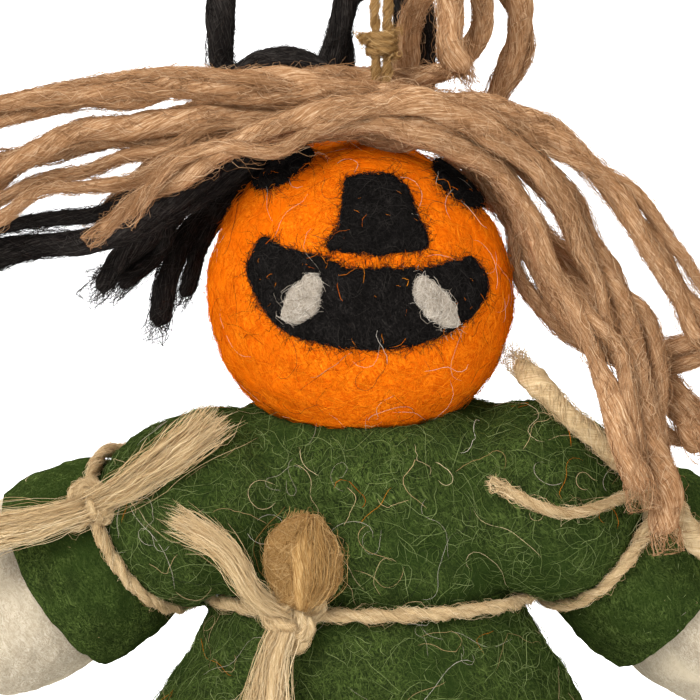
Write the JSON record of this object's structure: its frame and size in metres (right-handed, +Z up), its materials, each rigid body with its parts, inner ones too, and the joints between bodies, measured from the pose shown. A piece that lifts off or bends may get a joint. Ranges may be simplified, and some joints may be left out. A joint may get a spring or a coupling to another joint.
{
  "type": "hanging scarecrow figure",
  "caption": "Felted scarecrow ornament: round pumpkin head with yarn hair, belted tunic, stubby arms and legs, hung from a twine loop.",
  "frame": {"origin": "where a hook bears in the top of the hanging loop", "axes": "+Z up, the figure faces -Y, its right arm is at -X"},
  "size_m": [0.1306, 0.0607, 0.1953],
  "materials": {
    "orange_felt": "needle-felted wool with stray fibres",
    "black_felt": "needle-felted wool",
    "pale_felt": "needle-felted wool",
    "tan_yarn": "thick hardly twisted wool yarn",
    "black_yarn": "thick hardly twisted wool yarn",
    "green_felt": "needle-felted wool with stray fibres",
    "undyed_felt": "needle-felted undyed wool",
    "jute": "two-ply jute twine with brushed-out ends"
  },
  "bodies": {
    "hanging_loop": {"hang_loop": "jute", "loop_knot": "jute", "loop_anchor_knot": "jute"},
    "figure": {"head": "orange_felt", "nose_patch": "black_felt", "mouth_patch": "black_felt", "tooth_right": "pale_felt", "tooth_left": "pale_felt", "eye_right": "black_felt", "eye_left": "black_felt", "hair_tan_1": "tan_yarn", "hair_tan_2": "tan_yarn", "hair_tan_3": "tan_yarn", "hair_tan_4": "tan_yarn", "hair_tan_5": "tan_yarn", "hair_tan_6": "tan_yarn", "hair_tan_7": "tan_yarn", "hair_tan_8": "tan_yarn", "hair_tan_9": "tan_yarn", "hair_black_1": "black_yarn", "hair_black_2": "black_yarn", "hair_black_3": "black_yarn", "hair_black_4": "black_yarn", "tunic": "green_felt", "body_core": "undyed_felt", "belt": "jute", "belt_knot": "jute", "belt_tail_up": "jute", "belt_tail_down": "jute", "belt_bow_loop": "jute", "shoulder_tie_right": "jute", "shoulder_knot_right": "jute", "shoulder_tail_right": "jute", "outer_tail_right": "jute", "shoulder_tie_left": "jute", "shoulder_knot_left": "jute", "shoulder_tail_left": "jute", "shoulder_strand_left": "jute", "outer_tail_left": "jute"},
    "arm_right": {"sleeve_right": "green_felt", "arm_right": "undyed_felt"},
    "arm_left": {"sleeve_left": "green_felt", "arm_left": "undyed_felt"},
    "leg_right": {"leg_right": "undyed_felt"},
    "leg_left": {"leg_left": "undyed_felt"}
  },
  "joints": [
    {"name": "swing", "type": "hinge", "parent": "hanging_loop", "child": "figure", "pos_m": [0, 0, -0.06122], "axis": [1, 0, 0], "range_deg": [-20, 20]},
    {"name": "arm_right_bend", "type": "hinge", "parent": "figure", "child": "arm_right", "pos_m": [-0.0334, 0.00085, -0.1163], "axis": [0, 1, 0], "range_deg": [-10, 15], "stiffness_Nm_per_rad": 0.06},
    {"name": "arm_left_bend", "type": "hinge", "parent": "figure", "child": "arm_left", "pos_m": [0.0304, 0.00085, -0.1163], "axis": [0, -1, 0], "range_deg": [-10, 15], "stiffness_Nm_per_rad": 0.06},
    {"name": "leg_right_swing", "type": "hinge", "parent": "figure", "child": "leg_right", "pos_m": [-0.0135, -0.00115, -0.144], "axis": [1, 0, 0], "range_deg": [-25, 25]},
    {"name": "leg_left_swing", "type": "hinge", "parent": "figure", "child": "leg_left", "pos_m": [0.0105, -0.00115, -0.144], "axis": [1, 0, 0], "range_deg": [-25, 25]}
  ]
}
